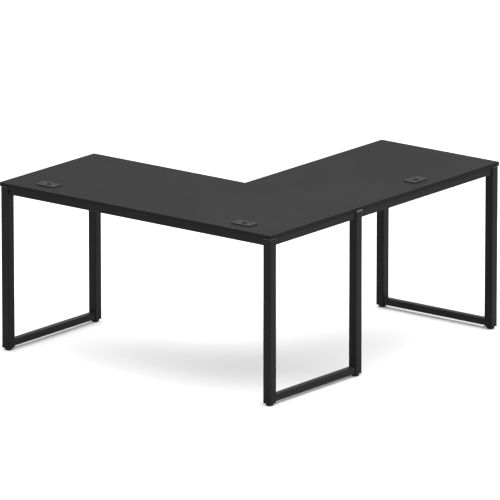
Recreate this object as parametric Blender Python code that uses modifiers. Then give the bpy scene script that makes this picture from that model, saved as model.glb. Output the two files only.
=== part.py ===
"""L-shaped corner desk: two boards on three welded leg frames joined by four plug-in beams.

Metres, +Z up. The origin is the middle of the desk's outline, on the floor.
+X runs along the main desk from its free end to the outer corner, +Y along the wing.
"""

import math

import bmesh
import bpy
from mathutils import Matrix, Vector

# Boards
MAIN_LENGTH = 1.475
MAIN_DEPTH = 0.6425
WING_WIDTH = 0.640
TOTAL_RUN = 1.610  # both boards along the outer side, corner to far end
TOP_HEIGHT = 0.744
BOARD_THICK = 0.018
BOARD_EDGE = 0.0008  # radius on the boards' edges

# Steel tube
POST = 0.040
RAIL = 0.030
WALL = 0.0015
POST_ROUND = 0.0025
RAIL_ROUND = 0.002
GAP = 0.0003  # left between pieces that touch

# Frames: how far the posts stand outside the boards, and how far the boards overhang them
POST_PROUD = 0.004
LEFT_OVERHANG = 0.0105
FRAME_DEPTH = 0.6325
FAR_OVERHANG = 0.0135
INNER_OVERHANG = 0.0125

# Post caps and levelling feet
PLUG_FLANGE = 0.003
PLUG_DEEP = 0.018
PLUG_BOSS_R = 0.008
PLUG_WALL = 0.002
CAP_THICK = 0.002
CAP_PROUD = 0.004
CAP_LIP = 0.005
PAD_R = 0.0165
PAD_HIGH = 0.010
PAD_CHAMFER = 0.003
PAD_POCKET = 0.0055
STEM_R = 0.004
STEM_TOP = 0.040

# Plug-in beam joints
SPIGOT_CLEAR = 0.0004
SPIGOT_WALL = 0.002
SPIGOT_LONG = 0.045
SCREW_R = 0.0027
SCREW_HEAD_R = 0.00525
SCREW_HEAD = 0.0033
SCREW_LONG = 0.010
SCREW_FROM_END = 0.025
SOCKET_FLATS = 0.004

# Cable grommets
PLATE_LONG = 0.100
PLATE_WIDE = 0.064
PLATE_THICK = 0.0042
PLATE_ROUND = 0.009
CUTOUT_LONG = 0.085
CUTOUT_WIDE = 0.049
LINER_WALL = 0.002
LINER_DEEP = 0.021
LID_LONG = 0.062
LID_WIDE = 0.042
LID_THICK = 0.0028
LID_ROUND = 0.005
LID_LEDGE = 0.003
SKIRT_DEEP = 0.005
SKIRT_WALL = 0.0016
CABLE_R = 0.011
GROMMET_SET_IN = 0.0905
GROMMET_1_X = 0.199  # from the main board's free end
GROMMET_2_X = 0.2095  # from the outer corner
GROMMET_3_X = 0.0865  # from the wing's outer edge

TURNED_STEPS = 24
SCREW_STEPS = 16

# Levels
BOARD_BOTTOM = TOP_HEIGHT - BOARD_THICK
STEEL_TOP = BOARD_BOTTOM - GAP
FLANGE_BOTTOM = PAD_HIGH + GAP
POST_BOTTOM = FLANGE_BOTTOM + PLUG_FLANGE + GAP
BEAM_Z = STEEL_TOP - RAIL / 2
LOW_RAIL_Z = POST_BOTTOM + RAIL / 2

# Post centres, measured from the outer corner of the boards
OUTER_X = POST_PROUD - POST / 2
OUTER_Y = POST / 2 - POST_PROUD
LEFT_X = LEFT_OVERHANG + POST / 2 - MAIN_LENGTH
SEAM_Y = FRAME_DEPTH - POST_PROUD - POST / 2
FAR_Y = TOTAL_RUN - FAR_OVERHANG - POST / 2
WING_IN_X = INNER_OVERHANG + POST / 2 - WING_WIDTH

# Middle of the outline, which becomes the origin
MIDDLE = Vector((
    (POST_PROUD + CAP_PROUD - MAIN_LENGTH) / 2,
    (TOTAL_RUN - POST_PROUD) / 2,
    0,
))

POSTS = {
    "left_outer": (LEFT_X, OUTER_Y),
    "left_inner": (LEFT_X, SEAM_Y),
    "corner_outer": (OUTER_X, OUTER_Y),
    "corner_inner": (OUTER_X, SEAM_Y),
    "far_inner": (WING_IN_X, FAR_Y),
    "far_outer": (OUTER_X, FAR_Y),
}
FRAMES = {
    "left": ("left_outer", "left_inner"),
    "corner": ("corner_outer", "corner_inner"),
    "far": ("far_inner", "far_outer"),
}


def clear_scene():
    for obj in list(bpy.data.objects):
        bpy.data.objects.remove(obj, do_unlink=True)


def make_collection(name):
    collection = bpy.data.collections.new(name)
    bpy.context.scene.collection.children.link(collection)
    return collection


def make_material(name, colour, roughness, metallic=0.0):
    material = bpy.data.materials.new(name)
    material.use_nodes = True
    shader = material.node_tree.nodes["Principled BSDF"]
    shader.inputs["Base Color"].default_value = (*colour, 1)
    shader.inputs["Roughness"].default_value = roughness
    shader.inputs["Metallic"].default_value = metallic
    return material


clear_scene()
DESK = make_collection("corner_desk")
CUTTERS = make_collection("corner_desk_cutters")
LAMINATE = make_material("black_laminate", (0.05, 0.05, 0.052), 0.5)
STEEL = make_material("black_powder_coat", (0.03, 0.03, 0.032), 0.45, 0.2)
PLASTIC = make_material("black_plastic", (0.06, 0.06, 0.062), 0.4)
ZINC = make_material("black_zinc", (0.05, 0.05, 0.055), 0.35, 0.9)
RUBBER = make_material("foot_plastic", (0.02, 0.02, 0.021), 0.6)


def add_object(name, data, centre, material=None):
    """Links data to the desk, or to the cutters when it has no material."""
    obj = bpy.data.objects.new(name, data)
    obj.location = Vector(centre) - MIDDLE
    (DESK if material else CUTTERS).objects.link(obj)
    if material:
        obj.data.materials.append(material)
    else:
        obj.hide_render = True
        obj.display_type = "WIRE"
    return obj


def block(name, size, centre, material=None, rounding=0.0, axis=2, segments=2):
    """A box whose four edges along axis are rounded."""
    mesh = bpy.data.meshes.new(name)
    bm = bmesh.new()
    bmesh.ops.create_cube(bm, size=1, matrix=Matrix.Diagonal((*size, 1)))
    if rounding:
        along = [e for e in bm.edges if abs((e.verts[0].co - e.verts[1].co)[axis]) > size[axis] / 2]
        bmesh.ops.bevel(bm, geom=along, offset=rounding, segments=segments, profile=0.5,
                        affect="EDGES", material=-1)
    bm.to_mesh(mesh)
    bm.free()
    return add_object(name, mesh, centre, material)


def rod(name, radius, length, centre, sides=SCREW_STEPS):
    """An upright cylinder that cuts another piece or joins it."""
    mesh = bpy.data.meshes.new(name)
    bm = bmesh.new()
    bmesh.ops.create_cone(bm, cap_ends=True, segments=sides, radius1=radius, radius2=radius,
                          depth=length)
    bm.to_mesh(mesh)
    bm.free()
    return add_object(name, mesh, centre)


def boolean(obj, other, operation="DIFFERENCE"):
    modifier = obj.modifiers.new(other.name, "BOOLEAN")
    modifier.operation = operation
    modifier.solver = "EXACT"
    modifier.object = other
    return obj


def bevel(obj, width, segments=1):
    modifier = obj.modifiers.new("edge", "BEVEL")
    modifier.width = width
    modifier.segments = segments
    modifier.limit_method = "ANGLE"
    return obj


def score(obj, axis, place):
    """Splits an object's faces along the plane across an axis at a place, to keep the far side clear."""
    bm = bmesh.new()
    bm.from_mesh(obj.data)
    across = [0, 0, 0]
    across[axis] = 1
    line = [0, 0, 0]
    line[axis] = place - MIDDLE[axis] - obj.location[axis]
    bmesh.ops.bisect_plane(bm, geom=bm.verts[:] + bm.edges[:] + bm.faces[:], dist=GAP,
                           plane_co=line, plane_no=across)
    bm.to_mesh(obj.data)
    bm.free()


def turned(name, profile, centre, material, steps):
    """Spins a half profile of (radius, height) points round the vertical axis."""
    mesh = bpy.data.meshes.new(name)
    points = [(radius, 0, height) for radius, height in profile]
    mesh.from_pydata(points, [(i, i + 1) for i in range(len(points) - 1)], [])
    obj = add_object(name, mesh, centre, material)
    spin = obj.modifiers.new("turn", "SCREW")
    spin.steps = steps
    spin.render_steps = steps
    spin.use_merge_vertices = True
    spin.merge_threshold = 0.00001
    return obj


def tube(name, centre, length, axis, width, rounding, wall, material):
    """A square tube open at both ends."""
    size = [width] * 3
    size[axis] = length
    body = block(name, size, centre, material, rounding, axis)
    inside = [width - 2 * wall] * 3
    inside[axis] = length + 2 * width
    return boolean(body, block(name + "_bore", inside, centre))


def build_board(name, low, high, grommets):
    """A board between two corners, cut out for its grommets."""
    size = [high[i] - low[i] for i in range(2)] + [BOARD_THICK]
    centre = [(high[i] + low[i]) / 2 for i in range(2)] + [TOP_HEIGHT - BOARD_THICK / 2]
    board = bevel(block(name, size, centre, LAMINATE), BOARD_EDGE)
    for index, (x, y, along) in grommets.items():
        size = [CUTOUT_WIDE, CUTOUT_WIDE, 3 * BOARD_THICK]
        size[along] = CUTOUT_LONG
        cut = block(f"cutout_{index}", size, (x, y, centre[2]), None, LID_ROUND)
        boolean(board, cut)
    return board


def build_grommet(index, x, y, along):
    """A flanged liner that drops into the board, and its lift-out lid with a round cable hole."""

    def plan(length, width, thick):
        size = [width, width, thick]
        size[along] = length
        return size

    low = TOP_HEIGHT + GAP
    top = low + PLATE_THICK
    name = f"grommet_base_{index}"
    base = block(name, plan(PLATE_LONG, PLATE_WIDE, PLATE_THICK), (x, y, (low + top) / 2),
                 PLASTIC, PLATE_ROUND, segments=4)
    bevel(base, BOARD_EDGE)
    slack = 4 * GAP
    liner_top = low + PLATE_THICK / 2
    liner_mid = liner_top - LINER_DEEP / 2
    outer = plan(CUTOUT_LONG - slack, CUTOUT_WIDE - slack, LINER_DEEP)
    inner = [s - 2 * LINER_WALL for s in outer[:2]] + [LINER_DEEP]
    boolean(base, block(name + "_liner", outer, (x, y, liner_mid), None, LID_ROUND), "UNION")
    boolean(base, block(name + "_hollow", inner, (x, y, liner_mid - PLATE_THICK / 2), None, LID_ROUND))
    seat = top - LID_THICK - GAP
    recess = plan(LID_LONG + slack, LID_WIDE + slack, PLATE_THICK)
    boolean(base, block(name + "_seat", recess, (x, y, seat + PLATE_THICK / 2), None, LID_ROUND))
    mouth = [s - 2 * LID_LEDGE for s in recess[:2]] + [4 * PLATE_THICK]
    boolean(base, block(name + "_mouth", mouth, (x, y, seat), None, LID_ROUND - LID_LEDGE / 2))

    name = f"grommet_lid_{index}"
    lid = block(name, plan(LID_LONG, LID_WIDE, LID_THICK), (x, y, top - LID_THICK / 2),
                PLASTIC, LID_ROUND, segments=3)
    bevel(lid, BOARD_EDGE / 2)
    outer = [s - slack for s in mouth[:2]] + [SKIRT_DEEP + LID_THICK / 2]
    skirt_z = top - LID_THICK / 2 - outer[2] / 2
    inner = [s - 2 * SKIRT_WALL for s in outer[:2]] + [SKIRT_DEEP]
    skirt_low = top - LID_THICK - SKIRT_DEEP
    boolean(lid, block(name + "_skirt", outer, (x, y, skirt_z), None, LID_ROUND / 2), "UNION")
    boolean(lid, block(name + "_inside", inner, (x, y, skirt_low + SKIRT_DEEP / 2 - GAP), None,
                       LID_ROUND / 4))
    boolean(lid, rod(name + "_hole", CABLE_R, 4 * PLATE_THICK, (x, y, top), sides=TURNED_STEPS))


def build_post(name, x, y):
    """A closed-top post with its plug and levelling foot; the seam post also takes a cap plate."""
    top = STEEL_TOP
    if name == "corner_inner":
        top -= CAP_THICK + GAP
        build_cap(x, y)
    height = top - POST_BOTTOM
    post = block("post_" + name, (POST, POST, height), (x, y, POST_BOTTOM + height / 2),
                 STEEL, POST_ROUND)
    inside = POST - 2 * WALL
    boolean(post, block(name + "_hollow", (inside, inside, height), (x, y, POST_BOTTOM + height / 2 - WALL)))
    build_plug(name, x, y, inside)
    build_foot(name, x, y)


def build_cap(x, y):
    """The plate on the post under the seam, with a lip that laps the board's edge."""
    width = POST - 2 * GAP
    plate = (x + CAP_PROUD / 2, y, STEEL_TOP - CAP_THICK / 2)
    cap = bevel(block("seam_cap", (POST + CAP_PROUD, width, CAP_THICK), plate, STEEL), GAP)
    outer = x + POST / 2 + CAP_PROUD
    tall = CAP_LIP + CAP_THICK
    lip = ((outer + GAP) / 2, y, STEEL_TOP + CAP_LIP - tall / 2)
    boolean(cap, block("seam_lip", (outer - GAP, width, tall), lip), "UNION")


def build_plug(name, x, y, inside):
    """The moulded insert that closes a post and holds the foot's thread."""
    plug = block("plug_" + name, (POST, POST, PLUG_FLANGE), (x, y, FLANGE_BOTTOM + PLUG_FLANGE / 2),
                 PLASTIC, POST_ROUND)
    width = inside - 2 * GAP
    low = FLANGE_BOTTOM + PLUG_FLANGE / 2
    high = FLANGE_BOTTOM + PLUG_FLANGE + PLUG_DEEP
    middle = (x, y, (low + high) / 2)
    boolean(plug, block(name + "_skirt", (width, width, high - low), middle), "UNION")
    floor = FLANGE_BOTTOM + PLUG_FLANGE
    pocket = width - 2 * PLUG_WALL
    boolean(plug, block(name + "_pocket", (pocket, pocket, PLUG_DEEP), (x, y, floor + PLUG_DEEP / 2 + GAP)))
    boolean(plug, rod(name + "_boss", PLUG_BOSS_R, high - low, middle), "UNION")
    boolean(plug, rod(name + "_thread", STEM_R + GAP, 3 * PLUG_DEEP, middle))


def build_foot(name, x, y):
    """The threaded stem and the pad pressed onto its lower end."""
    pocket = STEM_R + GAP
    turned("foot_pad_" + name, [
        (0, PAD_HIGH - PAD_POCKET),
        (pocket, PAD_HIGH - PAD_POCKET),
        (pocket, PAD_HIGH),
        (PAD_R - PAD_CHAMFER / 3, PAD_HIGH),
        (PAD_R, PAD_HIGH - PAD_CHAMFER / 3),
        (PAD_R, PAD_CHAMFER),
        (PAD_R - PAD_CHAMFER, 0),
        (0, 0),
    ], (x, y, 0), RUBBER, TURNED_STEPS)
    foot = PAD_HIGH - PAD_POCKET + GAP
    turned("foot_stem_" + name, [
        (0, STEM_TOP),
        (STEM_R * 0.8, STEM_TOP),
        (STEM_R, STEM_TOP - STEM_R * 0.2),
        (STEM_R, foot),
        (0, foot),
    ], (x, y, 0), ZINC, SCREW_STEPS)


def build_frame(name, first, second):
    """The top and bottom rails between two posts."""
    start = POSTS[first]
    end = POSTS[second]
    axis = 0 if start[1] == end[1] else 1
    length = end[axis] - start[axis] - POST - 2 * GAP
    middle = [(start[i] + end[i]) / 2 for i in range(2)]
    for prefix, z in (("top_rail_", BEAM_Z), ("bottom_rail_", LOW_RAIL_Z)):
        tube(prefix + name, (*middle, z), length, axis, RAIL, RAIL_ROUND, WALL, STEEL)


def build_joint(name, face, axis, way):
    """The spigot that a beam plugs onto, and the screw that locks it from below."""
    width = RAIL - 2 * WALL - 2 * SPIGOT_CLEAR
    centre = list(face)
    centre[axis] += way * (GAP + SPIGOT_LONG / 2)
    spigot = tube("spigot_" + name, centre, SPIGOT_LONG, axis, width, RAIL_ROUND / 2, SPIGOT_WALL, STEEL)
    spot = list(face)
    spot[axis] += way * SCREW_FROM_END
    spot[2] = BEAM_Z - RAIL / 2
    boolean(spigot, rod(name + "_tapped", SCREW_R + GAP, RAIL, spot))
    head = -GAP
    screw = turned("screw_" + name, [
        (0, SCREW_LONG),
        (SCREW_R * 0.8, SCREW_LONG),
        (SCREW_R, SCREW_LONG - SCREW_R * 0.2),
        (SCREW_R, head),
        (SCREW_HEAD_R, head),
        (SCREW_HEAD_R, head - SCREW_HEAD * 0.35),
        (SCREW_HEAD_R * 0.82, head - SCREW_HEAD * 0.8),
        (SCREW_HEAD_R * 0.55, head - SCREW_HEAD),
        (0, head - SCREW_HEAD),
    ], spot, ZINC, SCREW_STEPS)
    socket = (*spot[:2], spot[2] + head - SCREW_HEAD)
    boolean(screw, rod(name + "_socket", SOCKET_FLATS / math.sqrt(3), SCREW_HEAD * 1.2, socket, sides=6))
    return spot


def build_beam(name, start, end, axis):
    """A long beam from one face to another, with its two plug-in joints."""
    length = end[axis] - start[axis] - 2 * GAP
    middle = [(start[i] + end[i]) / 2 for i in range(3)]
    beam = tube("beam_" + name, middle, length, axis, RAIL, RAIL_ROUND, WALL, STEEL)
    spots = [build_joint(name + "_start", start, axis, 1), build_joint(name + "_end", end, axis, -1)]
    for number, spot in enumerate(spots):
        boolean(beam, rod(f"{name}_clear_{number}", SCREW_R + 2 * GAP, RAIL, spot))


def build_beams():
    half = POST / 2
    for name, y in (("main_outer", OUTER_Y), ("main_inner", SEAM_Y)):
        build_beam(name, (LEFT_X + half, y, BEAM_Z), (OUTER_X - half, y, BEAM_Z), 0)
    wing_starts = {"wing_outer": (OUTER_X, SEAM_Y + half), "wing_inner": (WING_IN_X, SEAM_Y + RAIL / 2)}
    for name, (x, y) in wing_starts.items():
        build_beam(name, (x, y, BEAM_Z), (x, FAR_Y - half, BEAM_Z), 1)


def build():
    main_grommets = {
        1: (GROMMET_1_X - MAIN_LENGTH, GROMMET_SET_IN, 0),
        2: (-GROMMET_2_X, GROMMET_SET_IN, 0),
    }
    wing_grommets = {3: (-GROMMET_3_X, (MAIN_DEPTH + TOTAL_RUN) / 2, 1)}
    main = build_board("main_top", (-MAIN_LENGTH, 0), (0, MAIN_DEPTH), main_grommets)
    score(main, 1, GROMMET_SET_IN + PLATE_WIDE)
    build_board("wing_top", (-WING_WIDTH, MAIN_DEPTH + GAP), (0, TOTAL_RUN), wing_grommets)
    for index, place in {**main_grommets, **wing_grommets}.items():
        build_grommet(index, *place)
    for name, (x, y) in POSTS.items():
        build_post(name, x, y)
    for name, ends in FRAMES.items():
        build_frame(name, *ends)
    build_beams()


build()
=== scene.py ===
"""Looks for a corner desk: powder-coated tube frames, laminate boards, moulded grommets and feet.

Laid out as an add-on and run as a script.
"""

import math

import bmesh
import bpy
from mathutils import Matrix, Vector


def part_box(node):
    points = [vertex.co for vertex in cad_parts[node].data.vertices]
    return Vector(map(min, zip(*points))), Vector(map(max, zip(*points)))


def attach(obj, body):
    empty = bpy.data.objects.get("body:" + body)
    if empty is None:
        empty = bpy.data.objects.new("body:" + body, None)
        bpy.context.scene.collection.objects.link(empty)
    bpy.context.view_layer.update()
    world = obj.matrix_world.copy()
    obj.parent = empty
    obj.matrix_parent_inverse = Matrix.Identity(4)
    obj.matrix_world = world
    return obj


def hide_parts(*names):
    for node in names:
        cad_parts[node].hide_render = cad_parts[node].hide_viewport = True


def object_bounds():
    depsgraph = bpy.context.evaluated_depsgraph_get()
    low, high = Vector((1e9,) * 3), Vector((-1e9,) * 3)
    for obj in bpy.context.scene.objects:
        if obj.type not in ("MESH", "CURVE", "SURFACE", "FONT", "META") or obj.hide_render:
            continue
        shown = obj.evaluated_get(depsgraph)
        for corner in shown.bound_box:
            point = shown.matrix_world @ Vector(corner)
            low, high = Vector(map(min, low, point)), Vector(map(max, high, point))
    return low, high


bl_info = {
    "name": "Corner Desk Finish",
    "version": (1, 0, 0),
    "blender": (4, 5, 0),
    "location": "View3D > Sidebar > Corner Desk",
    "description": "Dresses the packed corner desk with its boards, frames, grommets and feet",
    "category": "Object",
}

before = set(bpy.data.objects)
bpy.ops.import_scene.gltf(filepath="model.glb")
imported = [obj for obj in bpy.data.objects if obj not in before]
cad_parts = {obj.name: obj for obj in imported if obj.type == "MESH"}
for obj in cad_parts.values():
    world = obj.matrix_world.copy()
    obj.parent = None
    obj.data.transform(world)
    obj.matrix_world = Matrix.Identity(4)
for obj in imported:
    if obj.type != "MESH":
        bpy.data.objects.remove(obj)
CAD_LOW, CAD_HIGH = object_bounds()

POST_NAMES = ("left_outer", "left_inner", "corner_outer", "corner_inner", "far_inner", "far_outer")
FRAME_NAMES = ("left", "corner", "far")
BEAM_NAMES = ("main_outer", "main_inner", "wing_outer", "wing_inner")
GROMMETS = (1, 2, 3)
SMOOTH_ANGLE = math.radians(35)  # edges sharper than this stay crisp
SAME_SPOT = 1e-7  # vertices nearer than this are one
SEAT_GAP = 0.0003  # left between a new piece and the surface it sits on
RAIL_CORNER = 0.002  # outside radius of the rails' corners
BEAD_STEPS = 4  # steps round each corner of a weld bead
BEAD_CUTS = 14  # cuts across each side of a bead, for its ripples
BEAD_SUNK = 0.0003  # how far a bead's inner face lies under the rail's surface
BEAD_PAST_RAIL = 0.0002  # how far a bead starts past its rail's end, just short of the post
BEAD_BULGE = 0.45  # height of a bead's bulging row, as a share of its leg
RIPPLE_TURN = 900  # radians a metre, which makes a hump every 3.5 mm
RIPPLE_RISE = 0.16  # height of the humps, as a share of the leg
SCREW_STEPS = 36  # steps round a screw, a multiple of its socket's six sides
FLOOR_REACH = 150  # half the studio floor's width

# Pale colour laid on upward faces: mostly painted light from above, partly a film of dust
DUST_AND_TOP_LIGHT = (0.2, 0.198, 0.195)
DUST_SPECKS = (0.16, 0.155, 0.15)
BOARD_DUST = (0.12, 0.118, 0.115)

# Sprayed and moulded finishes: colour setting and its share, then speckled_finish's own values
SPECKLED_FINISHES = {
    "Powder Coat": ("steel_colour", 1, dict(
        roughness=0.4, specular=0.085, pebble=1100, bump=0.00012, dust_and_top_light=0.035)),
    # The posts' upward faces lightened far more than the other tubes: painted highlight on the posts' tops
    "Powder Coat Posts": ("steel_colour", 1, dict(
        roughness=0.4, specular=0.085, pebble=1100, bump=0.00012, dust_and_top_light=0.55)),
    # The low rails' coat at 2.3 times the frame colour and less glossy: a lighter copy of the same coat,
    # painted light making up for the shade the rails sit in
    "Powder Coat Low Rails": ("steel_colour", 2.3, dict(
        roughness=0.42, specular=0.048, pebble=1100, bump=0.00012, dust_and_top_light=0.02)),
    # The cap plate's upward face lightened nearly to the pale film: painted highlight on the plate's top
    "Cap Plate": ("cap_colour", 1, dict(
        roughness=0.4, specular=0.14, pebble=1100, bump=0.00012, dust_and_top_light=0.9)),
    "Grommet Plastic": ("grommet_colour", 1, dict(
        roughness=0.44, specular=0.08, pebble=1500, bump=0.00008, dust=0.16)),
    "Insert Plastic": ("plug_colour", 1, dict(
        roughness=0.5, specular=0.12, pebble=1500, bump=0.00008, dust=0.1)),
    "Foot Plastic": ("pad_colour", 1, dict(
        roughness=0.52, specular=0.12, pebble=1300, bump=0.0001, dust=0.15)),
}
FRAME_FINISHES = {
    "post_": "Powder Coat Posts",
    "seam_": "Cap Plate",
    "bottom_rail_": "Powder Coat Low Rails",
    "top_rail_": "Powder Coat",
    "beam_": "Powder Coat",
    "spigot_": "Powder Coat",
}


# ---------------------------------------------------------------- settings


class DeskFinishSettings(bpy.types.PropertyGroup):
    board_colour: bpy.props.FloatVectorProperty(
        name="Board", description="Laminate on the boards' faces",
        subtype="COLOR", size=3, default=(0.0119, 0.0119, 0.0116), min=0, max=1)
    band_colour: bpy.props.FloatVectorProperty(
        name="Edge band", description="Banding round the boards' edges",
        subtype="COLOR", size=3, default=(0.0078, 0.0078, 0.0079), min=0, max=1)
    steel_colour: bpy.props.FloatVectorProperty(
        name="Frame", description="Powder coat on the tubes",
        subtype="COLOR", size=3, default=(0.0058, 0.0058, 0.0059), min=0, max=1)
    cap_colour: bpy.props.FloatVectorProperty(
        name="Cap plate", description="Coat on the plate over the post under the seam",
        subtype="COLOR", size=3, default=(0.034, 0.034, 0.034), min=0, max=1)
    grommet_colour: bpy.props.FloatVectorProperty(
        name="Grommet", description="Moulded plastic of the cable grommets",
        subtype="COLOR", size=3, default=(0.0118, 0.0118, 0.0116), min=0, max=1)
    plug_colour: bpy.props.FloatVectorProperty(
        name="Post insert", description="Plastic inserts in the lower ends of the posts",
        subtype="COLOR", size=3, default=(0.007, 0.007, 0.0072), min=0, max=1)
    pad_colour: bpy.props.FloatVectorProperty(
        name="Foot pad", description="Plastic of the levelling feet",
        subtype="COLOR", size=3, default=(0.005, 0.005, 0.005), min=0, max=1)
    zinc_colour: bpy.props.FloatVectorProperty(
        name="Fastener", description="Black zinc on screws and stems",
        subtype="COLOR", size=3, default=(0.06, 0.06, 0.065), min=0, max=1)


class DeskSizeSettings(bpy.types.PropertyGroup):
    weld_leg: bpy.props.FloatProperty(
        name="Weld leg", description="Width of the weld bead on each surface",
        default=0.0026, min=0.001, max=0.005, unit="LENGTH")
    screw_head: bpy.props.FloatProperty(
        name="Board screw head", description="Diameter of the board screws' heads",
        default=0.0085, min=0.006, max=0.012, unit="LENGTH")
    thread_pitch: bpy.props.FloatProperty(
        name="Foot thread pitch", description="Pitch of the levelling feet's M8 thread",
        default=0.00125, min=0.0008, max=0.002, unit="LENGTH")
    corner_steps: bpy.props.IntProperty(
        name="Corner steps", description="Steps round each moulded corner",
        default=8, min=3, max=24)
    turned_steps: bpy.props.IntProperty(
        name="Turned steps", description="Steps round each turned piece",
        default=64, min=24, max=128)


class DeskStageSettings(bpy.types.PropertyGroup):
    azimuth: bpy.props.FloatProperty(
        name="Azimuth", description="Camera's bearing from the desk",
        default=math.radians(38.126), unit="ROTATION")
    elevation: bpy.props.FloatProperty(
        name="Elevation", description="Camera's height angle above the floor",
        default=math.radians(14.799), unit="ROTATION")
    distance: bpy.props.FloatProperty(
        name="Distance", description="Camera's distance from its target",
        default=37.953, min=1, unit="LENGTH")
    lens: bpy.props.FloatProperty(
        name="Lens", description="Focal length on a 36 mm sensor",
        default=630.84, min=20, subtype="DISTANCE_CAMERA")
    target: bpy.props.FloatVectorProperty(
        name="Target", description="Point the camera looks at",
        default=(-0.0645, 0.0753, 0.37), size=3, subtype="TRANSLATION")
    floor_colour: bpy.props.FloatVectorProperty(
        name="Floor", description="Pale studio floor",
        subtype="COLOR", size=3, default=(0.93, 0.93, 0.93), min=0, max=1)
    sky: bpy.props.FloatProperty(
        name="Sky", description="Strength of the even surrounding light",
        default=1.08, min=0)
    overhead: bpy.props.FloatProperty(
        name="Overhead", description="Power of the large softbox overhead",
        default=260, min=0, unit="POWER")
    side: bpy.props.FloatProperty(
        name="Side", description="Strength of the broad light from the wing's side",
        default=0.85, min=0)


# ---------------------------------------------------------------- shader groups


def new_group(name, inputs, outputs):
    """A shader group with named float inputs (name, default) and outputs (name, socket type)."""
    group = bpy.data.node_groups.new(name, "ShaderNodeTree")
    for label, value in inputs:
        socket = group.interface.new_socket(label, in_out="INPUT", socket_type="NodeSocketFloat")
        socket.default_value = value
    for label, kind in outputs:
        group.interface.new_socket(label, in_out="OUTPUT", socket_type=kind)
    nodes = group.nodes
    return group, nodes.new("NodeGroupInput"), nodes.new("NodeGroupOutput")


def link(tree, source, target):
    tree.links.new(source, target)


def add_math(tree, operation, first, second):
    node = tree.nodes.new("ShaderNodeMath")
    node.operation = operation
    for socket, value in zip(node.inputs, (first, second)):
        if isinstance(value, (int, float)):
            socket.default_value = value
        else:
            link(tree, value, socket)
    return node.outputs[0]


def add_noise(tree, vector, scale, detail, roughness=0.5):
    node = tree.nodes.new("ShaderNodeTexNoise")
    node.inputs["Detail"].default_value = detail
    node.inputs["Roughness"].default_value = roughness
    if isinstance(scale, (int, float)):
        node.inputs["Scale"].default_value = scale
    else:
        link(tree, scale, node.inputs["Scale"])
    link(tree, vector, node.inputs["Vector"])
    return node.outputs["Fac"]


def add_ramp(tree, value, low, high):
    """Maps value from low..high to 0..1, clamped."""
    node = tree.nodes.new("ShaderNodeMapRange")
    node.inputs["From Min"].default_value = low
    node.inputs["From Max"].default_value = high
    link(tree, value, node.inputs["Value"])
    return node.outputs["Result"]


def build_pebble_group():
    """Fine moulded or sprayed texture: a height for bumps and a mask of its high spots."""
    group, inputs, outputs = new_group(
        "Desk Pebble", (("Scale", 900.0), ("Coarse Share", 0.35)),
        (("Height", "NodeSocketFloat"), ("High Spots", "NodeSocketFloat")))
    spot = group.nodes.new("ShaderNodeTexCoord").outputs["Object"]
    fine = add_noise(group, spot, inputs.outputs["Scale"], 3, 0.55)
    coarse = add_noise(group, spot, add_math(group, "MULTIPLY", inputs.outputs["Scale"], 0.22), 2)
    weighted = add_math(group, "MULTIPLY", coarse, inputs.outputs["Coarse Share"])
    height = add_math(group, "ADD", fine, weighted)
    link(group, height, outputs.inputs["Height"])
    link(group, add_ramp(group, fine, 0.5, 0.78), outputs.inputs["High Spots"])
    return group


def build_handling_group():
    """Broad, faint patches left by wiping and handling, a thin fall of dust on upward faces, and an uneven
    mask of upward faces that the finishes use for painted light from above.
    """
    group, inputs, outputs = new_group(
        "Desk Handling", (("Patch Scale", 3.5), ("Dust", 0.3)),
        (("Patches", "NodeSocketFloat"), ("Dust", "NodeSocketFloat"), ("Upward", "NodeSocketFloat")))
    spot = group.nodes.new("ShaderNodeTexCoord").outputs["Object"]
    broad = add_noise(group, spot, inputs.outputs["Patch Scale"], 4, 0.6)
    link(group, add_ramp(group, broad, 0.3, 0.72), outputs.inputs["Patches"])
    normal = group.nodes.new("ShaderNodeNewGeometry").outputs["True Normal"]
    split = group.nodes.new("ShaderNodeSeparateXYZ")
    link(group, normal, split.inputs[0])
    upward = add_ramp(group, split.outputs["Z"], 0.6, 1.0)
    specks = add_ramp(group, add_noise(group, spot, 1400, 2, 0.7), 0.62, 0.8)
    dusty = add_math(group, "MULTIPLY", add_math(group, "MULTIPLY", upward, specks), inputs.outputs["Dust"])
    link(group, dusty, outputs.inputs["Dust"])
    uneven = add_math(group, "ADD", add_math(group, "MULTIPLY", broad, 0.5), 0.75)
    link(group, add_math(group, "MULTIPLY", upward, uneven), outputs.inputs["Upward"])
    return group


def build_grain_group():
    """A faint pressed grain that runs along one axis of a board."""
    group, inputs, outputs = new_group(
        "Desk Board Grain", (("Along X", 1.0),),
        (("Grain", "NodeSocketFloat"), ("Pores", "NodeSocketFloat")))
    split = group.nodes.new("ShaderNodeSeparateXYZ")
    link(group, group.nodes.new("ShaderNodeTexCoord").outputs["Object"], split.inputs[0])
    along = inputs.outputs["Along X"]
    across = add_math(group, "SUBTRACT", 1.0, along)
    stretch = 0.045
    scale_x = add_math(group, "ADD", add_math(group, "MULTIPLY", along, stretch - 1), 1.0)
    scale_y = add_math(group, "ADD", add_math(group, "MULTIPLY", across, stretch - 1), 1.0)
    joined = group.nodes.new("ShaderNodeCombineXYZ")
    link(group, add_math(group, "MULTIPLY", split.outputs["X"], scale_x), joined.inputs["X"])
    link(group, add_math(group, "MULTIPLY", split.outputs["Y"], scale_y), joined.inputs["Y"])
    link(group, split.outputs["Z"], joined.inputs["Z"])
    streaks = add_noise(group, joined.outputs[0], 160, 5, 0.62)
    pores = add_noise(group, joined.outputs[0], 620, 2, 0.5)
    link(group, add_ramp(group, streaks, 0.32, 0.7), outputs.inputs["Grain"])
    link(group, add_ramp(group, pores, 0.58, 0.74), outputs.inputs["Pores"])
    return group


PEBBLE = build_pebble_group()
HANDLING = build_handling_group()
GRAIN = build_grain_group()


# ---------------------------------------------------------------- materials


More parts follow.
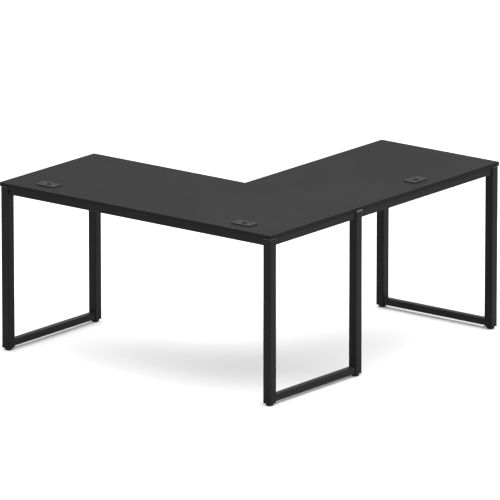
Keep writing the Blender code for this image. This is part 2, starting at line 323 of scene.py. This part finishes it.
def add_group(tree, group, **values):
    node = tree.nodes.new("ShaderNodeGroup")
    node.node_tree = group
    for label, value in values.items():
        node.inputs[label.replace("_", " ")].default_value = value
    return node


def mix_colour(tree, factor, first, second):
    node = tree.nodes.new("ShaderNodeMix")
    node.data_type = "RGBA"
    link(tree, factor, node.inputs["Factor"])
    for label, value in (("A", first), ("B", second)):
        socket = next(s for s in node.inputs if s.name == label and s.type == "RGBA")
        if isinstance(value, (tuple, list)):
            socket.default_value = (*value[:3], 1)
        else:
            link(tree, value, socket)
    return next(s for s in node.outputs if s.type == "RGBA")


def scaled(colour, amount):
    return tuple(min(1.0, channel * amount) for channel in colour)


def start_material(name, specular, metallic=0.0):
    material = bpy.data.materials.new(name)
    material.use_nodes = True
    tree = material.node_tree
    shader = tree.nodes["Principled BSDF"]
    shader.inputs["Specular IOR Level"].default_value = specular
    shader.inputs["Metallic"].default_value = metallic
    return material, tree, shader


def add_bump(tree, shader, height, distance, strength=1.0):
    node = tree.nodes.new("ShaderNodeBump")
    node.inputs["Distance"].default_value = distance
    node.inputs["Strength"].default_value = strength
    link(tree, height, node.inputs["Height"])
    link(tree, node.outputs["Normal"], shader.inputs["Normal"])
    return node


def speckled_finish(name, colour, roughness, specular, pebble, bump, dust=0.25, dust_and_top_light=0.0):
    """A sprayed or moulded finish: pebbled, with lighter high spots, handling patches, settled dust, and a
    pale film on upward faces that is mostly painted light from above.
    """
    material, tree, shader = start_material(name, specular)
    grit = add_group(tree, PEBBLE, Scale=pebble)
    worn = add_group(tree, HANDLING, Dust=dust)
    base = mix_colour(tree, grit.outputs["High Spots"], scaled(colour, 0.8), scaled(colour, 1.55))
    base = mix_colour(tree, worn.outputs["Patches"], base, scaled(colour, 1.08))
    # Painted light: upward faces mixed towards the pale film, standing for light from above as well as dust
    dust_and_top_light_share = add_math(tree, "MULTIPLY", worn.outputs["Upward"], dust_and_top_light)
    base = mix_colour(tree, dust_and_top_light_share, base, DUST_AND_TOP_LIGHT)
    base = mix_colour(tree, worn.outputs["Dust"], base, DUST_SPECKS)
    link(tree, base, shader.inputs["Base Color"])
    shine = add_math(tree, "MULTIPLY", worn.outputs["Patches"], 0.08)
    raised = add_math(tree, "MULTIPLY", grit.outputs["High Spots"], 0.05)
    rough = add_math(tree, "ADD", raised, roughness - 0.04)
    link(tree, add_math(tree, "ADD", rough, shine), shader.inputs["Roughness"])
    add_bump(tree, shader, grit.outputs["Height"], bump)
    return material


def board_finish(name, colour, band, along_x, top):
    """Laminate with a pressed grain, a smoother edge band with its glue line, and painted highlights on the
    arrises.
    """
    material, tree, shader = start_material(name, 0.05)
    grit = add_group(tree, PEBBLE, Scale=700)
    worn = add_group(tree, HANDLING, Patch_Scale=2.2, Dust=0.22)
    grain = add_group(tree, GRAIN, Along_X=along_x)
    face = mix_colour(tree, grain.outputs["Grain"], scaled(colour, 0.93), scaled(colour, 1.08))
    face = mix_colour(tree, grain.outputs["Pores"], face, scaled(colour, 0.86))
    face = mix_colour(tree, worn.outputs["Patches"], face, scaled(colour, 1.03))
    face = mix_colour(tree, worn.outputs["Dust"], face, BOARD_DUST)
    split = tree.nodes.new("ShaderNodeSeparateXYZ")
    link(tree, tree.nodes.new("ShaderNodeTexCoord").outputs["Object"], split.inputs[0])
    under = add_ramp(tree, split.outputs["Z"], top - 0.0006, top - 0.0010)
    line = add_ramp(tree, split.outputs["Z"], top - 0.0016, top - 0.0010)
    glue = add_math(tree, "MULTIPLY", under, line)
    side = tree.nodes.new("ShaderNodeSeparateXYZ")
    link(tree, tree.nodes.new("ShaderNodeNewGeometry").outputs["True Normal"], side.inputs[0])
    steep = add_math(tree, "ABSOLUTE", side.outputs["Z"], 0.0)
    upright = add_ramp(tree, steep, 0.6, 0.2)
    band_face = mix_colour(tree, grit.outputs["High Spots"], scaled(band, 0.9), scaled(band, 1.2))
    band_face = mix_colour(tree, glue, band_face, scaled(band, 0.35))
    dressed = mix_colour(tree, upright, face, band_face)
    # Painted highlight: the arrises' sloped faces lightened towards 4.5 times the board colour, broken up by
    # the handling patches
    sloped = add_math(tree, "SUBTRACT", 1.0, add_ramp(tree, steep, 0.75, 0.95))
    sloped = add_math(tree, "MULTIPLY", sloped, add_ramp(tree, steep, 0.25, 0.6))
    arris_highlight = add_math(tree, "MULTIPLY", sloped, add_ramp(tree, worn.outputs["Patches"], -0.6, 0.8))
    link(tree, mix_colour(tree, arris_highlight, dressed, scaled(colour, 4.5)), shader.inputs["Base Color"])
    patchy = add_math(tree, "MULTIPLY", worn.outputs["Patches"], 0.06)
    grained = add_math(tree, "MULTIPLY", grain.outputs["Grain"], 0.05)
    rough = add_math(tree, "ADD", add_math(tree, "ADD", patchy, grained), 0.56)
    link(tree, add_math(tree, "SUBTRACT", rough, add_math(tree, "MULTIPLY", upright, 0.12)),
         shader.inputs["Roughness"])
    pressed = add_math(tree, "SUBTRACT", add_math(tree, "MULTIPLY", grit.outputs["Height"], 0.5),
                       grain.outputs["Pores"])
    add_bump(tree, shader, pressed, 0.00006)
    return material


def zinc_finish(name, colour):
    """Black zinc: metal with a fine grit and a few bright handled spots."""
    material, tree, shader = start_material(name, 0.5, 0.85)
    grit = add_group(tree, PEBBLE, Scale=2400)
    worn = add_group(tree, HANDLING, Patch_Scale=60, Dust=0.1)
    base = mix_colour(tree, grit.outputs["High Spots"], scaled(colour, 0.8), scaled(colour, 1.5))
    base = mix_colour(tree, worn.outputs["Patches"], base, scaled(colour, 1.8))
    link(tree, base, shader.inputs["Base Color"])
    rough = add_math(tree, "MULTIPLY", worn.outputs["Patches"], -0.12)
    link(tree, add_math(tree, "ADD", rough, 0.42), shader.inputs["Roughness"])
    add_bump(tree, shader, grit.outputs["Height"], 0.00002)
    return material


def desk_material(name):
    """The named finish, made on first use."""
    if name in bpy.data.materials:
        return bpy.data.materials[name]
    colours = bpy.context.scene.desk_finish
    if name in SPECKLED_FINISHES:
        setting, share, values = SPECKLED_FINISHES[name]
        return speckled_finish(name, scaled(getattr(colours, setting), share), **values)
    if name == "Black Zinc":
        return zinc_finish(name, tuple(colours.zinc_colour))
    along_x = {"Laminate Main": 1.0, "Laminate Wing": 0.0}[name]
    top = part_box("main_top")[1].z
    return board_finish(name, tuple(colours.board_colour), tuple(colours.band_colour), along_x, top)


def dress(node, finish):
    """Gives a CAD node its finish."""
    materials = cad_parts[node].data.materials
    materials.clear()
    materials.append(desk_material(finish))


# ---------------------------------------------------------------- modelling


def finish_piece(name, bm, finish, body, replaces=()):
    """Turns a bmesh into a piece that rides on a body."""
    bmesh.ops.remove_doubles(bm, verts=bm.verts, dist=SAME_SPOT)
    bmesh.ops.recalc_face_normals(bm, faces=bm.faces)
    mesh = bpy.data.meshes.new(name)
    bm.to_mesh(mesh)
    bm.free()
    mesh.shade_smooth()
    mesh.set_sharp_from_angle(angle=SMOOTH_ANGLE)
    mesh.materials.append(desk_material(finish))
    piece = bpy.data.objects.new(name, mesh)
    bpy.context.scene.collection.objects.link(piece)
    if replaces:
        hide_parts(*replaces)
    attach(piece, body)
    return piece


def extrude_loop(bm, verts):
    """Extrudes a closed loop of vertices, and returns the new loop in the same order."""
    edges = {edge for vert in verts for edge in vert.link_edges if edge.other_vert(vert) in verts}
    geom = bmesh.ops.extrude_edge_only(bm, edges=list(edges))["geom"]
    grown = {item for item in geom if isinstance(item, bmesh.types.BMVert)}
    return [next(other for edge in vert.link_edges if (other := edge.other_vert(vert)) in grown)
            for vert in verts]


def round_loop(verts, size_x, size_y, rounding, height):
    """Spreads a loop round a rectangle with rounded corners, nearly a circle when the corners meet."""
    steps = len(verts) // 4
    for index, vert in enumerate(verts):
        quarter, step = divmod(index, steps)
        middle = (quarter + 0.5) * math.pi / 2
        turn = (quarter + step / (steps - 1)) * math.pi / 2
        vert.co.x = math.copysign(size_x / 2 - rounding, math.cos(middle)) + rounding * math.cos(turn)
        vert.co.y = math.copysign(size_y / 2 - rounding, math.sin(middle)) + rounding * math.sin(turn)
        vert.co.z = height


def turn_loop(verts, centre, radius, height, sides=0):
    """Spreads a loop round a circle, or round the polygon that the circle touches from inside."""
    for index, vert in enumerate(verts):
        turn = 2 * math.pi * index / len(verts)
        reach = radius
        if sides:
            part = 2 * math.pi / sides
            reach = radius / math.cos(turn % part - part / 2)
        vert.co = centre + Vector((reach * math.cos(turn), reach * math.sin(turn), height))


def ring_body(bm, rings, steps):
    """A closed body round an opening, through a list of (size_x, size_y, rounding, height) rings."""
    verts = bmesh.ops.create_circle(bm, segments=4 * (steps + 1), radius=1)["verts"]
    round_loop(verts, *rings[0])
    for ring in (*rings[1:], rings[0]):
        verts = extrude_loop(bm, verts)
        round_loop(verts, *ring)
    bmesh.ops.remove_doubles(bm, verts=bm.verts, dist=SAME_SPOT)


def turn_profile(bm, profile, centre, steps):
    """Spins (radius, height) points, both ends on the axis, into a closed turned body."""
    verts = [bm.verts.new((centre[0] + r, centre[1], centre[2] + h)) for r, h in profile]
    edges = [bm.edges.new(pair) for pair in zip(verts, verts[1:])]
    bmesh.ops.spin(bm, geom=verts + edges, cent=centre, axis=(0, 0, 1), angle=2 * math.pi,
                   steps=steps, use_merge=True, use_duplicate=False)
    bmesh.ops.remove_doubles(bm, verts=bm.verts, dist=1e-6)


def shift(bm, offset):
    bmesh.ops.translate(bm, vec=Vector(offset), verts=bm.verts)


# ---------------------------------------------------------------- operators


class DESK_OT_stage(bpy.types.Operator):
    """Makes the camera, the studio lights and the pale floor"""

    bl_idname = "desk.stage"
    bl_label = "Stage"

    def execute(self, context):
        settings = context.scene.desk_stage
        self.add_camera(context, settings)
        self.add_floor(context, settings)
        self.add_lights(context, settings)
        context.scene.view_settings.view_transform = "Standard"
        return {"FINISHED"}

    def add_camera(self, context, settings):
        lens = bpy.data.cameras.new("Camera")
        lens.lens = settings.lens
        lens.sensor_width = 36
        lens.clip_start = 1
        lens.clip_end = 400
        camera = bpy.data.objects.new("Camera", lens)
        a, e = settings.azimuth, settings.elevation
        back = Vector((math.sin(a) * math.cos(e), -math.cos(a) * math.cos(e), math.sin(e)))
        camera.location = Vector(settings.target) + back * settings.distance
        camera.rotation_euler = (-back).to_track_quat("-Z", "Y").to_euler()
        context.scene.collection.objects.link(camera)
        context.scene.camera = camera

    def add_floor(self, context, settings):
        material, tree, shader = start_material("Studio Floor", 0.1)
        spot = tree.nodes.new("ShaderNodeTexCoord").outputs["Object"]
        soft = add_noise(tree, spot, 0.6, 2)
        colour = tuple(settings.floor_colour)
        link(tree, mix_colour(tree, soft, scaled(colour, 0.995), colour), shader.inputs["Base Color"])
        shader.inputs["Roughness"].default_value = 0.9
        bm = bmesh.new()
        bmesh.ops.create_grid(bm, x_segments=1, y_segments=1, size=FLOOR_REACH)
        mesh = bpy.data.meshes.new("studio_floor")
        bm.to_mesh(mesh)
        bm.free()
        mesh.materials.append(material)
        floor = bpy.data.objects.new("studio_floor", mesh)
        floor.location.z = CAD_LOW.z - 0.0004
        context.scene.collection.objects.link(floor)

    def add_lights(self, context, settings):
        world = bpy.data.worlds.new("Studio")
        world.use_nodes = True
        background = world.node_tree.nodes["Background"]
        background.inputs["Color"].default_value = (1, 1, 1, 1)
        background.inputs["Strength"].default_value = settings.sky
        context.scene.world = world
        overhead = self.add_light(context, "softbox_overhead", "AREA", (0.2, 0.2, 4.4), settings.overhead)
        overhead.shape = "SQUARE"
        overhead.size = 6.0
        side = self.add_light(context, "broad_side", "SUN", (4.5, -0.8, 1.7), settings.side)
        side.angle = math.radians(80)

    def add_light(self, context, name, kind, place, energy):
        light = bpy.data.lights.new(name, kind)
        light.energy = energy
        holder = bpy.data.objects.new(name, light)
        holder.location = place
        aim = Vector((0, 0, 0.4)) - holder.location
        holder.rotation_euler = aim.to_track_quat("-Z", "Y").to_euler()
        context.scene.collection.objects.link(holder)
        return light


class DESK_OT_boards(bpy.types.Operator):
    """Finishes the two boards and their edge bands"""

    bl_idname = "desk.boards"
    bl_label = "Boards"

    def execute(self, context):
        dress("main_top", "Laminate Main")
        dress("wing_top", "Laminate Wing")
        return {"FINISHED"}


class DESK_OT_frames(bpy.types.Operator):
    """Powder-coats the posts, rails, beams, spigots and the seam's cap plate"""

    bl_idname = "desk.frames"
    bl_label = "Frames and beams"

    def execute(self, context):
        for prefix, finish in FRAME_FINISHES.items():
            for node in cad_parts:
                if node.startswith(prefix):
                    dress(node, finish)
        return {"FINISHED"}


class DESK_OT_welds(bpy.types.Operator):
    """Lays a weld bead round both ends of each rail"""

    bl_idname = "desk.welds"
    bl_label = "Weld beads"

    def execute(self, context):
        leg = context.scene.desk_sizes.weld_leg
        for name in FRAME_NAMES:
            for level in ("top", "bottom"):
                self.weld_rail(f"{level}_rail_{name}", leg)
        return {"FINISHED"}

    def weld_rail(self, rail, leg):
        """A bead round each end of a rail, wide at the post and narrowing along the rail."""
        low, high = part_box(rail)
        axis, turned_about = (0, "Y") if high.x - low.x > high.y - low.y else (1, "X")
        width = high.z - low.z
        hidden = width - 2 * BEAD_SUNK
        for number, way in enumerate((-1, 1)):
            bm = bmesh.new()
            ring_body(bm, (
                (hidden, hidden, RAIL_CORNER, leg),
                (width + 0.0002, width + 0.0002, RAIL_CORNER + 0.0001, leg),
                (width + leg, width + leg, RAIL_CORNER + 0.0001 + leg / 2, leg * BEAD_BULGE),
                (width + 2 * leg, width + 2 * leg, RAIL_CORNER + leg, 0.0),
                (hidden, hidden, RAIL_CORNER, 0.0),
            ), BEAD_STEPS)
            long_edges = [e for e in bm.edges if e.calc_length() > width / 2]
            bmesh.ops.subdivide_edges(bm, edges=long_edges, cuts=BEAD_CUTS, use_grid_fill=True)
            self.ripple(bm, leg)
            quarter = way * math.pi / 2
            turn = Matrix.Rotation(quarter if axis else -quarter, 4, turned_about)
            bmesh.ops.transform(bm, matrix=turn, verts=bm.verts)
            place = (low + high) / 2
            place[axis] = (low, high)[number][axis] + way * BEAD_PAST_RAIL
            shift(bm, place)
            if rail.startswith("top"):
                for vert in bm.verts:
                    vert.co.z = min(vert.co.z, high.z)
            finish_piece(f"weld_{rail}_{number + 1}", bm, "Powder Coat", "desk")

    def ripple(self, bm, leg):
        """Small overlapping humps along the bead's bulging row."""
        for vert in bm.verts:
            if abs(vert.co.z - leg * BEAD_BULGE) < leg * 0.1:
                run = vert.co.x if abs(vert.co.x) < abs(vert.co.y) else vert.co.y
                hump = abs(math.sin(run * RIPPLE_TURN)) * leg * RIPPLE_RISE
                vert.co.x += math.copysign(hump, vert.co.x)
                vert.co.y += math.copysign(hump, vert.co.y)


class DESK_OT_grommets(bpy.types.Operator):
    """Moulds the three cable grommets and their lift-out covers"""

    bl_idname = "desk.grommets"
    bl_label = "Cable grommets"

    def execute(self, context):
        steps = context.scene.desk_sizes.corner_steps
        for number in GROMMETS:
            self.mould_base(number, steps)
            self.mould_cover(number, steps)
        return {"FINISHED"}

    def place(self, bm, node):
        """Turns a body modelled along X to lie as its node does, and moves it there."""
        low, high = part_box(node)
        if high.y - low.y > high.x - low.x:
            bmesh.ops.rotate(bm, matrix=Matrix.Rotation(math.pi / 2, 3, "Z"), verts=bm.verts)
        middle = (low + high) / 2
        shift(bm, (middle.x, middle.y, 0))

    def mould_base(self, number, steps):
        """The flange with its pocket for the cover, and the liner below; each ring in turn, from outside."""
        node = f"grommet_base_{number}"
        low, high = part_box(node)
        lid_low, lid_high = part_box(f"grommet_lid_{number}")
        across, along = sorted((high.x - low.x, high.y - low.y))
        lid_across, lid_along = sorted((lid_high.x - lid_low.x, lid_high.y - lid_low.y))
        top = high.z
        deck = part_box("main_top")[1].z + SEAT_GAP
        lip = 0.0004
        seat = top - 0.0031
        bottom = low.z
        liner_x, liner_y = along - 0.0162, across - 0.0162
        wall = 0.0022
        pocket_x, pocket_y = lid_along + 0.0010, lid_across + 0.0010
        ledge_x, ledge_y = lid_along - 0.0048, lid_across - 0.0048
        bore_x, bore_y = liner_x - 2 * wall, liner_y - 2 * wall
        rings = (
            (along - 0.0006, across - 0.0006, 0.0087, deck),
            (along, across, 0.009, deck + 0.0004),
            (along, across, 0.009, top - 0.0016),
            (along - 0.0007, across - 0.0007, 0.0087, top - 0.0007),
            (along - 0.0022, across - 0.0022, 0.008, top - 0.0001),
            (along - 0.0034, across - 0.0034, 0.0075, top),
            (lid_along + 0.0028, lid_across + 0.0028, 0.0064, top),
            (pocket_x + lip, pocket_y + lip, 0.0056, top - lip),
            (pocket_x, pocket_y, 0.0054, seat),
            (ledge_x, ledge_y, 0.0032, seat),
            (ledge_x, ledge_y, 0.0032, deck),
            (bore_x, bore_y, 0.0038, deck),
            (bore_x + 0.0008, bore_y + 0.0008, 0.0040, bottom),
            (liner_x - 0.0012, liner_y - 0.0012, 0.0046, bottom),
            (liner_x, liner_y, 0.005, bottom + 0.0016),
            (liner_x, liner_y, 0.005, deck),
        )
        bm = bmesh.new()
        ring_body(bm, rings, steps)
        self.place(bm, node)
        finish_piece(f"grommet_frame_{number}", bm, "Grommet Plastic", "desk", [node])

    def mould_cover(self, number, steps):
        """The cover's plate, its raised rim round the cable hole, and the skirt below."""
        node = f"grommet_lid_{number}"
        low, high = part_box(node)
        across, along = sorted((high.x - low.x, high.y - low.y))
        top, bottom = high.z, low.z
        rim = top - 0.0027
        under = top - 0.0016
        hole = 0.0225
        skirt_x, skirt_y = along - 0.0064, across - 0.0064
        wall = 0.0016
        inside_x, inside_y = skirt_x - 2 * wall, skirt_y - 2 * wall

        def circle(diameter, height):
            return (diameter, diameter, diameter * 0.49, height)

        rings = (
            (along, across, 0.005, rim),
            (along, across, 0.005, top - 0.0007),
            (along - 0.0003, across - 0.0003, 0.0049, top - 0.0003),
            (along - 0.0012, across - 0.0012, 0.0045, top),
            (hole + 0.0160, hole + 0.0100, 0.0120, top),
            circle(hole + 0.0050, top),
            circle(hole + 0.0038, top + 0.0002),
            circle(hole + 0.0016, top + 0.0002),
            circle(hole + 0.0004, top - 0.0001),
            circle(hole, top - 0.0006),
            circle(hole, under),
            (hole + 0.0120, hole + 0.0060, 0.0120, under),
            (inside_x, inside_y, 0.0012, under),
            (inside_x, inside_y, 0.0012, bottom),
            (skirt_x - 0.0006, skirt_y - 0.0006, 0.0022, bottom),
            (skirt_x, skirt_y, 0.0025, bottom + 0.0006),
            (skirt_x, skirt_y, 0.0025, rim),
        )
        bm = bmesh.new()
        ring_body(bm, rings, steps)
        self.place(bm, node)
        finish_piece(f"grommet_cover_{number}", bm, "Grommet Plastic", f"lid_{number}", [node])


class DESK_OT_feet(bpy.types.Operator):
    """Moulds the foot pads, cuts the stems' threads and dresses the inserts that hold them"""

    bl_idname = "desk.feet"
    bl_label = "Levelling feet"

    def execute(self, context):
        sizes = context.scene.desk_sizes
        for name in POST_NAMES:
            dress("plug_" + name, "Insert Plastic")
            self.mould_pad(name, sizes.turned_steps)
            self.cut_stem(name, sizes.thread_pitch)
        return {"FINISHED"}

    def mould_pad(self, name, steps):
        """The round pad: a collar for the stem on top, and two shallow grooves underneath."""
        low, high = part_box("foot_pad_" + name)
        radius, tall = (high.x - low.x) / 2, high.z - low.z
        centre = Vector(((low.x + high.x) / 2, (low.y + high.y) / 2, low.z))
        profile = [
            (0, tall - 0.0055), (0.0043, tall - 0.0055), (0.0043, tall - 0.0004), (0.0047, tall),
            (0.0068, tall), (0.0072, tall - 0.0004), (0.0074, tall - 0.0012),
            (radius - 0.0016, tall - 0.0012), (radius - 0.0005, tall - 0.0016),
            (radius, tall - 0.0026), (radius, 0.0034), (radius - 0.0004, 0.0028),
            (radius - 0.0030, 0.0003), (radius - 0.0035, 0), (radius - 0.0050, 0),
            (radius - 0.0054, 0.0006), (radius - 0.0064, 0.0006), (radius - 0.0068, 0),
            (radius - 0.0088, 0), (radius - 0.0092, 0.0006), (radius - 0.0102, 0.0006),
            (radius - 0.0106, 0), (0, 0),
        ]
        bm = bmesh.new()
        turn_profile(bm, profile, centre, steps)
        finish_piece("foot_disc_" + name, bm, "Foot Plastic", "foot_" + name, ["foot_pad_" + name])

    def cut_stem(self, name, pitch):
        """A plain core with a raised helical thread, both closed."""
        low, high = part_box("foot_stem_" + name)
        radius, tall = (high.x - low.x) / 2, high.z - low.z
        centre = Vector(((low.x + high.x) / 2, (low.y + high.y) / 2, low.z))
        core = radius - pitch * 0.55
        bm = bmesh.new()
        turn_profile(bm, [(0, tall), (core * 0.75, tall), (core, tall - 0.0008), (core, 0.0010),
                          (core * 0.9, 0), (0, 0)], centre, 32)
        start = 0.006
        bare_end = 0.003
        turns = int((tall - start - bare_end) / pitch)
        steps = 24
        corners = [bm.verts.new(centre + Vector((r, 0, start + z))) for r, z in (
            (core - 0.0002, -pitch * 0.46), (radius, -pitch * 0.06), (radius, pitch * 0.06),
            (core - 0.0002, pitch * 0.46))]
        ridge = [bm.edges.new(pair) for pair in zip(corners, corners[1:] + corners[:1])]
        bmesh.ops.spin(bm, geom=corners + ridge, cent=centre, axis=(0, 0, 1),
                       dvec=(0, 0, pitch / steps), angle=2 * math.pi * turns, steps=steps * turns,
                       use_merge=False, use_duplicate=False)
        open_edges = [e for e in bm.edges if e.is_boundary]
        bmesh.ops.holes_fill(bm, edges=open_edges, sides=4)
        finish_piece("foot_stud_" + name, bm, "Black Zinc", "foot_" + name,
                     ["foot_stem_" + name])


class DESK_OT_screws(bpy.types.Operator):
    """Turns the beams' locking screws and the board screws under the rails and beams"""

    bl_idname = "desk.screws"
    bl_label = "Screws"

    def execute(self, context):
        sizes = context.scene.desk_sizes
        for beam in BEAM_NAMES:
            for end in ("start", "end"):
                self.locking_screw(f"{beam}_{end}")
        runs = [("beam_" + b, 3 if b.startswith("main") else 2) for b in BEAM_NAMES]
        runs += [("top_rail_" + f, 2) for f in FRAME_NAMES]
        for tube, count in runs:
            self.board_screws(tube, count, sizes.screw_head / 2)
        return {"FINISHED"}

    def turn_screw(self, bm, centre, shank, head, flats, depth):
        """A screw hanging head down: shank and head are (radius, length), with a six-sided socket."""
        radius, tall = head
        profile = [(shank[0], shank[1] - 0.0006), (shank[0], 0), (radius, 0), (radius, -tall * 0.35),
                   (radius * 0.93, -tall * 0.68), (radius * 0.75, -tall * 0.93), (radius * 0.62, -tall)]
        verts = bmesh.ops.create_circle(bm, segments=SCREW_STEPS, radius=1, cap_ends=True)["verts"]
        turn_loop(verts, centre, shank[0] * 0.8, shank[1])
        for reach, height in profile:
            verts = extrude_loop(bm, verts)
            turn_loop(verts, centre, reach, height)
        for height in (-tall, depth - tall):
            verts = extrude_loop(bm, verts)
            turn_loop(verts, centre, flats / 2, height, sides=6)
        bmesh.ops.contextual_create(bm, geom=verts)

    def locking_screw(self, name):
        """One of the screws that lock a beam onto its spigot."""
        node = "screw_" + name
        low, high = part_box(node)
        tall = 0.0033
        centre = Vector(((low.x + high.x) / 2, (low.y + high.y) / 2, low.z + tall))
        bm = bmesh.new()
        self.turn_screw(bm, centre, (0.0027, high.z - centre.z), ((high.x - low.x) / 2, tall), 0.004, 0.0021)
        finish_piece("lock_" + node, bm, "Black Zinc", "desk", [node])

    def board_screws(self, tube, count, radius):
        """Heads of the screws that hold the boards, under a rail or beam."""
        low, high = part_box(tube)
        axis = 0 if high.x - low.x > high.y - low.y else 1
        shares = (0.17, 0.5, 0.83) if count == 3 else (0.22, 0.78)
        for number, share in enumerate(shares):
            centre = (low + high) / 2
            centre[axis] = low[axis] + (high[axis] - low[axis]) * share
            centre.z = low.z
            bm = bmesh.new()
            self.turn_screw(bm, centre, (0.0018, 0.0012), (radius, 0.0026), 0.003, 0.0016)
            finish_piece(f"board_screw_{tube}_{number + 1}", bm, "Black Zinc", "desk")


class DESK_PT_panel(bpy.types.Panel):
    """Shows the desk's steps and their settings in the sidebar"""

    bl_idname = "DESK_PT_panel"
    bl_label = "Corner Desk"
    bl_space_type = "VIEW_3D"
    bl_region_type = "UI"
    bl_category = "Corner Desk"

    def draw(self, context):
        for operator in OPERATORS:
            self.layout.operator(operator.bl_idname)
        for group in (context.scene.desk_finish, context.scene.desk_sizes, context.scene.desk_stage):
            box = self.layout.box()
            for name in group.bl_rna.properties.keys():
                if name not in {"rna_type", "name"}:
                    box.prop(group, name)


SETTINGS = (
    ("desk_finish", DeskFinishSettings),
    ("desk_sizes", DeskSizeSettings),
    ("desk_stage", DeskStageSettings),
)
OPERATORS = (
    DESK_OT_stage,
    DESK_OT_boards,
    DESK_OT_frames,
    DESK_OT_welds,
    DESK_OT_grommets,
    DESK_OT_feet,
    DESK_OT_screws,
)


def register():
    for name, group in SETTINGS:
        bpy.utils.register_class(group)
        setattr(bpy.types.Scene, name, bpy.props.PointerProperty(type=group))
    for item in (*OPERATORS, DESK_PT_panel):
        bpy.utils.register_class(item)


def unregister():
    for item in reversed((*OPERATORS, DESK_PT_panel)):
        bpy.utils.unregister_class(item)
    for name, group in reversed(SETTINGS):
        delattr(bpy.types.Scene, name)
        bpy.utils.unregister_class(group)


def main():
    register()
    bpy.ops.desk.stage()
    bpy.ops.desk.boards()
    bpy.ops.desk.frames()
    bpy.ops.desk.welds()
    bpy.ops.desk.grommets()
    bpy.ops.desk.feet()
    bpy.ops.desk.screws()


if __name__ == "__main__":
    main()
